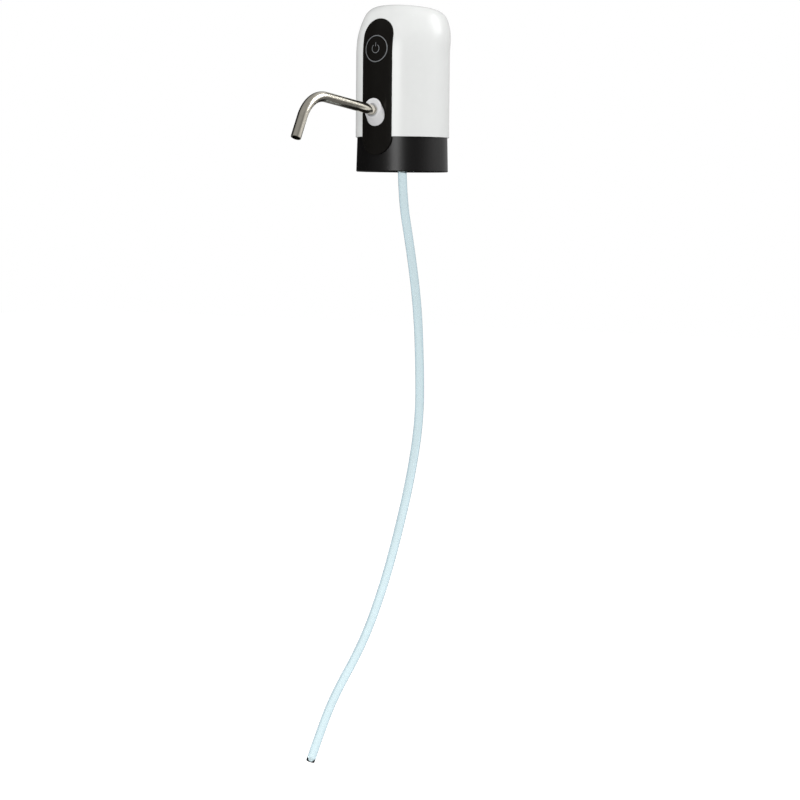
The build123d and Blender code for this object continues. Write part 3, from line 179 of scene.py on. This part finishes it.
# Finishes
def finish_start(name, colour, roughness, **sockets):
    """New material with a principled shader; sockets are set by name."""
    material = bpy.data.materials.new(name)
    material.use_nodes = True
    tree = material.node_tree
    shader = tree.nodes["Principled BSDF"]
    shader.inputs["Base Color"].default_value = (*colour, 1)
    shader.inputs["Roughness"].default_value = roughness
    for socket, value in sockets.items():
        shader.inputs[socket.replace("_", " ")].default_value = value
    return material, tree, shader


def grain_noise(tree, scale):
    """Noise that the grain of a surface is made from."""
    place = tree.nodes.new("ShaderNodeTexCoord")
    noise = tree.nodes.new("ShaderNodeTexNoise")
    noise.inputs["Scale"].default_value = scale
    noise.inputs["Detail"].default_value = 4.0
    tree.links.new(place.outputs["Object"], noise.inputs["Vector"])
    return noise.outputs["Fac"]


def roughen(tree, shader, noise, height, edge):
    """Bump from the noise, its height in millimetres, on edges rounded by edge millimetres."""
    bump = tree.nodes.new("ShaderNodeBump")
    bump.inputs["Strength"].default_value = 0.5
    bump.inputs["Distance"].default_value = height * MM
    tree.links.new(noise, bump.inputs["Height"])
    tree.links.new(bump.outputs["Normal"], shader.inputs["Normal"])
    if edge:
        soften = tree.nodes.new("ShaderNodeBevel")
        soften.samples = 4
        soften.inputs["Radius"].default_value = edge * MM
        tree.links.new(soften.outputs["Normal"], bump.inputs["Normal"])


def vary_polish(tree, shader, noise, spread):
    """Roughness that wanders by spread to either side."""
    reach = tree.nodes.new("ShaderNodeMapRange")
    middle = shader.inputs["Roughness"].default_value
    reach.inputs["To Min"].default_value = max(0.0, middle - spread)
    reach.inputs["To Max"].default_value = middle + spread
    tree.links.new(noise, reach.inputs["Value"])
    tree.links.new(reach.outputs["Result"], shader.inputs["Roughness"])


def vary_colour(tree, shader, noise, tint):
    """Colour that wanders by a share, tint, to either side."""
    ramp = tree.nodes.new("ShaderNodeValToRGB")
    colour = shader.inputs["Base Color"].default_value[:3]
    darker, lighter = ramp.color_ramp.elements
    darker.position = 0.3
    lighter.position = 0.7
    darker.color = (*[value * (1 - tint) for value in colour], 1)
    lighter.color = (*[min(1, value * (1 + tint)) for value in colour], 1)
    tree.links.new(noise, ramp.inputs["Fac"])
    tree.links.new(ramp.outputs["Color"], shader.inputs["Base Color"])


def moulded(name, colour, roughness, scale=900, height=0.02, spread=0.04, tint=0.015, edge=0.0, **sockets):
    """Moulded plastic or rubber with its fine grain."""
    material, tree, shader = finish_start(name, colour, roughness, **sockets)
    noise = grain_noise(tree, scale)
    roughen(tree, shader, noise, height, edge)
    vary_polish(tree, shader, noise, spread)
    vary_colour(tree, shader, noise, tint)
    return material


def metal(name, colour, roughness, scale=600, height=0.01, spread=0.05, tint=0.03, **sockets):
    """Bare metal with a slightly uneven polish."""
    return moulded(name, colour, roughness, scale, height, spread, tint, Metallic=1.0, **sockets)


def tint_with_depth(material, colour, density):
    """Make a clear material darker and more coloured the deeper light runs in it."""
    tree = material.node_tree
    shade = tree.nodes.new("ShaderNodeVolumeAbsorption")
    shade.inputs["Color"].default_value = colour
    shade.inputs["Density"].default_value = density
    tree.links.new(shade.outputs["Volume"], tree.nodes["Material Output"].inputs["Volume"])


white_shell = moulded("white_shell", (0.79, 0.80, 0.79), 0.26, 160, 0.012, 0.03, 0.006, 0.4,
                      Specular_IOR_Level=0.3)
black_strip = moulded("black_strip", (0.0075, 0.0068, 0.006), 0.14, 200, 0.004, 0.03, 0.05, 0.25,
                      Specular_IOR_Level=0.12)
black_collar = moulded("black_collar", (0.0035, 0.003, 0.003), 0.36, 1400, 0.008, 0.04, 0.05, 0.4,
                       Specular_IOR_Level=0.45)
neck_silicone = moulded("neck_silicone", (0.62, 0.62, 0.60), 0.5)
zinc = metal("zinc", (0.60, 0.60, 0.62), 0.32)
white_nylon = moulded("white_nylon", (0.78, 0.77, 0.73), 0.4)
grey_silicone = moulded("grey_silicone", (0.35, 0.35, 0.35), 0.5)
clear_silicone = moulded("clear_silicone", (0.96, 0.98, 0.98), 0.06, 30, 0.002, 0.02, 0.01,
                         Transmission_Weight=1.0, IOR=1.41)
tint_with_depth(clear_silicone, HOSE_SHADE, HOSE_SHADE_DENSITY)
socket_white = moulded("socket_white", (0.74, 0.74, 0.75), 0.26, 300, 0.01, edge=0.12)
sleeve_grey = moulded("sleeve_grey", (0.52, 0.53, 0.55), 0.35)
black_rubber = moulded("black_rubber", (0.02, 0.02, 0.02), 0.6)
stainless = metal("stainless", (0.88, 0.83, 0.72), 0.15, 300, 0.001, 0.03, 0.03)
light_guide = moulded("light_guide", (0.22, 0.23, 0.24), 0.35, 400, 0.01, Transmission_Weight=0.2)
button_black = moulded("button_black", (0.0075, 0.0068, 0.006), 0.16, 300, 0.006, Specular_IOR_Level=0.12)
switch_black = moulded("switch_black", (0.02, 0.02, 0.02), 0.45)
switch_red = moulded("switch_red", (0.35, 0.02, 0.02), 0.4)
board_green = moulded("board_green", (0.01, 0.12, 0.04), 0.3)
frame_grey = moulded("frame_grey", (0.45, 0.46, 0.47), 0.45)
pump_black = moulded("pump_black", (0.02, 0.02, 0.022), 0.45)
pump_white = moulded("pump_white", (0.70, 0.70, 0.66), 0.4)
valve_silicone = moulded("valve_silicone", (0.60, 0.22, 0.10), 0.5)
motor_steel = metal("motor_steel", (0.62, 0.62, 0.64), 0.3)
ferrite = moulded("ferrite", (0.03, 0.03, 0.032), 0.6)
bronze = metal("bronze", (0.60, 0.40, 0.20), 0.35)
carbon = moulded("carbon", (0.02, 0.02, 0.02), 0.55)
brass = metal("brass", (0.75, 0.55, 0.25), 0.25)
cam_nylon = moulded("cam_nylon", (0.75, 0.70, 0.58), 0.4)
iron_stack = metal("iron_stack", (0.35, 0.35, 0.36), 0.4)
copper = metal("copper", (0.65, 0.28, 0.12), 0.3)
cell_sleeve = moulded("cell_sleeve", (0.03, 0.14, 0.36), 0.25)
nickel = metal("nickel", (0.68, 0.67, 0.64), 0.25)
lamp_white = moulded("lamp_white", (0.75, 0.72, 0.60), 0.3)
red_vinyl = moulded("red_vinyl", (0.42, 0.02, 0.02), 0.4)
black_vinyl = moulded("black_vinyl", (0.02, 0.02, 0.02), 0.4)
white_vinyl = moulded("white_vinyl", (0.72, 0.72, 0.70), 0.4)

NODE_FINISH = {
    "top_housing": white_shell, "front_panel": black_strip, "base_collar": black_collar,
    "neck_seal": neck_silicone, "base_screws": zinc,
    "inlet_nozzle": white_nylon, "inlet_gasket": grey_silicone, "inlet_nut": white_nylon,
    "inlet_tube": clear_silicone, "outlet_tube": clear_silicone,
    "spout_socket": socket_white, "socket_nut": white_nylon, "spout_sleeve": sleeve_grey,
    "spout_o_ring": black_rubber, "spout_tube": stainless,
    "button_ring": light_guide, "button_cap": button_black, "button_board": board_green,
    "switch_plunger": switch_red, "switch_body": switch_black,
    "chassis": frame_grey, "control_board": board_green, "board_parts": switch_black,
    "pump_cover": pump_black, "valve_plate": pump_white, "inlet_valves": valve_silicone,
    "outlet_valve": valve_silicone, "diaphragm": black_rubber, "wobble_yoke": pump_white,
    "pump_case": pump_black, "pump_screws": zinc,
    "motor_can": motor_steel, "motor_end_cap": pump_black, "motor_magnets": ferrite,
    "motor_bearings": bronze, "motor_brushes": carbon, "motor_terminals": brass,
    "motor_screws": zinc, "motor_damper": black_rubber, "motor_shaft": zinc,
    "motor_armature": iron_stack, "motor_windings": copper, "motor_commutator": copper,
    "drive_cam": cam_nylon, "cam_pin": zinc,
    "battery_cell": cell_sleeve, "cell_terminal": nickel,
    "usb_socket": nickel, "usb_tongue": switch_black,
    "charge_lens": light_guide, "charge_lamp": lamp_white,
    "motor_lead_red": red_vinyl, "motor_lead_black": black_vinyl, "cell_lead_red": red_vinyl,
    "cell_lead_black": black_vinyl, "button_leads": white_vinyl,
}
for name, material in NODE_FINISH.items():
    nodes[name].data.materials.clear()
    nodes[name].data.materials.append(material)
hose.data.materials.append(clear_silicone)


# Mark on the button
def mark_ring(bm):
    """Flat ring in the plane Y = 0, open at its top."""
    start = [bm.verts.new((radius * sin(MARK_GAP / 2), 0, radius * cos(MARK_GAP / 2)))
             for radius in (MARK_RADIUS - MARK_LINE / 2, MARK_RADIUS + MARK_LINE / 2)]
    edge = bm.edges.new(start)
    bmesh.ops.spin(bm, geom=[*start, edge], cent=(0, 0, 0), axis=(0, 1, 0), angle=2 * pi - MARK_GAP,
                   steps=RING_STEPS)


def mark_bar(bm):
    """Flat upright bar in the ring's gap."""
    bar = bmesh.ops.create_grid(bm, x_segments=1, y_segments=BAR_STEPS, size=0.5)["verts"]
    bmesh.ops.scale(bm, vec=(MARK_LINE, MARK_RADIUS, 1), verts=bar)
    bmesh.ops.rotate(bm, cent=(0, 0, 0), verts=bar, matrix=Quaternion((1, 0, 0), pi / 2).to_matrix())
    bmesh.ops.translate(bm, vec=(0, 0, MARK_RADIUS), verts=bar)


def lay_on_cap(bm):
    """Move each point straight back onto the cap's face, and turn the faces to the front."""
    mesh = nodes["button_cap"].data
    cap = BVHTree.FromPolygons([vertex.co for vertex in mesh.vertices],
                               [polygon.vertices[:] for polygon in mesh.polygons])
    for vertex in bm.verts:
        hit = cap.ray_cast((vertex.co.x, CAST_FROM * MM, vertex.co.z), (0, 1, 0))[0]
        vertex.co.y = hit.y - MARK_SKIN * MM
    bmesh.ops.recalc_face_normals(bm, faces=bm.faces)
    bmesh.ops.reverse_faces(bm, faces=[face for face in bm.faces if face.normal.y > 0])


mark_bm = bmesh.new()
mark_ring(mark_bm)
mark_bar(mark_bm)
bmesh.ops.scale(mark_bm, vec=(MM, MM, MM), verts=mark_bm.verts)
bmesh.ops.translate(mark_bm, vec=(0, 0, MARK_HEIGHT * MM), verts=mark_bm.verts)
lay_on_cap(mark_bm)
mark = add_object("button_mark", mesh_of("button_mark", mark_bm))
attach(mark, "button")
mark.data.materials.append(light_guide)
skin = mark.modifiers.new("skin", "SOLIDIFY")
skin.thickness = 2 * MARK_SKIN * MM
skin.offset = -1


# Shader steps that the floor and the world share
def combine(tree, operation, first, second, clamp=False):
    """Two values, each a socket or a number, put together by a math operation."""
    step = tree.nodes.new("ShaderNodeMath")
    step.operation = operation
    step.use_clamp = clamp
    for socket, value in zip(step.inputs, (first, second)):
        if isinstance(value, float):
            socket.default_value = value
        else:
            tree.links.new(value, socket)
    return step.outputs["Value"]


def either(tree, factor, first, second):
    """First shader where the factor is 0, second where it is 1."""
    step = tree.nodes.new("ShaderNodeMixShader")
    tree.links.new(factor, step.inputs["Fac"])
    tree.links.new(first, step.inputs[1])
    tree.links.new(second, step.inputs[2])
    return step.outputs["Shader"]


def ray_kinds(tree):
    """Factors for what the camera sees, also through the clear hose, and for what a shiny surface mirrors."""
    ray = tree.nodes.new("ShaderNodeLightPath").outputs
    seen = combine(tree, "MAXIMUM", ray["Is Camera Ray"], ray["Is Transmission Ray"])
    mirrored = combine(tree, "SUBTRACT", ray["Is Glossy Ray"], ray["Is Transmission Ray"], clamp=True)
    return seen, mirrored


# Floor: pale as the camera sees it, dim in what shines, and clear from below
def paint_floor():
    """Matt material of the floor."""
    material, tree, shader = finish_start("floor_paint", FLOOR_COLOUR, 0.7, Specular_IOR_Level=0.1)
    seen, mirrored = ray_kinds(tree)
    shader.inputs["Emission Color"].default_value = WHITE
    tree.links.new(combine(tree, "MULTIPLY", seen, FLOOR_LIFT), shader.inputs["Emission Strength"])
    dim = tree.nodes.new("ShaderNodeEmission")
    dim.inputs["Strength"].default_value = FLOOR_SHINE
    clear = tree.nodes.new("ShaderNodeBsdfTransparent")
    side = tree.nodes.new("ShaderNodeNewGeometry")
    upper = either(tree, mirrored, shader.outputs["BSDF"], dim.outputs["Emission"])
    whole = either(tree, side.outputs["Backfacing"], upper, clear.outputs["BSDF"])
    tree.links.new(whole, tree.nodes["Material Output"].inputs["Surface"])
    return material


floor_bm = bmesh.new()
bmesh.ops.create_grid(floor_bm, x_segments=1, y_segments=1, size=FLOOR_REACH)
bmesh.ops.translate(floor_bm, vec=(0, 0, FLOOR_HEIGHT), verts=floor_bm.verts)
floor = add_object("floor", mesh_of("floor", floor_bm))
floor.data.materials.append(paint_floor())


# World: soft white light
def sky(tree, strength):
    """White sky of a strength that is a number or a socket."""
    background = tree.nodes.new("ShaderNodeBackground")
    background.inputs["Color"].default_value = WHITE
    if isinstance(strength, float):
        background.inputs["Strength"].default_value = strength
    else:
        tree.links.new(strength, background.inputs["Strength"])
    return background.outputs["Background"]


def side_fade(tree, direction, turn, value):
    """Value that changes smoothly from side to side of the sky; turn and value are pairs, from and to."""
    place = tree.nodes.new("ShaderNodeTexCoord")
    side = tree.nodes.new("ShaderNodeVectorMath")
    side.operation = "DOT_PRODUCT"
    side.inputs[1].default_value = direction
    tree.links.new(place.outputs["Generated"], side.inputs[0])
    fade = tree.nodes.new("ShaderNodeMapRange")
    fade.interpolation_type = "SMOOTHSTEP"
    fade.inputs["From Min"].default_value, fade.inputs["From Max"].default_value = turn
    fade.inputs["To Min"].default_value, fade.inputs["To Max"].default_value = value
    tree.links.new(side.outputs["Value"], fade.inputs["Value"])
    return fade.outputs["Result"]


world = bpy.data.worlds.new("studio")
scene.world = world
world.use_nodes = True
tree = world.node_tree
tree.nodes.remove(tree.nodes["Background"])
seen, mirrored = ray_kinds(tree)
behind = side_fade(tree, BRIGHT_SIDE, (0.0, 0.8), (0.15, 0.6))
above = side_fade(tree, UPWARDS, (0.1, 0.8), (0.0, 0.3))
left = side_fade(tree, DARK_SIDE, (0.35, 0.82), (1.0, 0.06))
shine = combine(tree, "MULTIPLY", combine(tree, "MAXIMUM", behind, above), left)
plain = either(tree, seen, sky(tree, WORLD_LIGHT), sky(tree, 1.0))
whole = either(tree, mirrored, plain, sky(tree, shine))
tree.links.new(whole, tree.nodes["World Output"].inputs["Surface"])


# Lamps
def soft_box(name, place, size, watts, mirrored=True):
    """Rectangular lamp that faces the neck's rim; shiny surfaces show it only where it is mirrored."""
    light = bpy.data.lights.new(name, "AREA")
    light.shape = "RECTANGLE"
    light.size, light.size_y = size
    light.energy = watts
    lamp = add_object(name, light)
    lamp.location = place
    lamp.rotation_mode = "QUATERNION"
    lamp.rotation_quaternion = (-Vector(place)).to_track_quat("-Z", "Y")
    lamp.visible_glossy = mirrored


soft_box("band_box", (0.65, -1.89, 0.3), (0.7, 0.6), 12)
soft_box("front_box", (0.5, -1.4, 1.3), (0.8, 0.8), 6.5, mirrored=False)
soft_box("fill_box", (-1.7, 0.2, 0.6), (0.9, 1.2), 10, mirrored=False)
soft_box("rear_box", (1.3, 1.12, 1.02), (1.0, 1.0), 18)
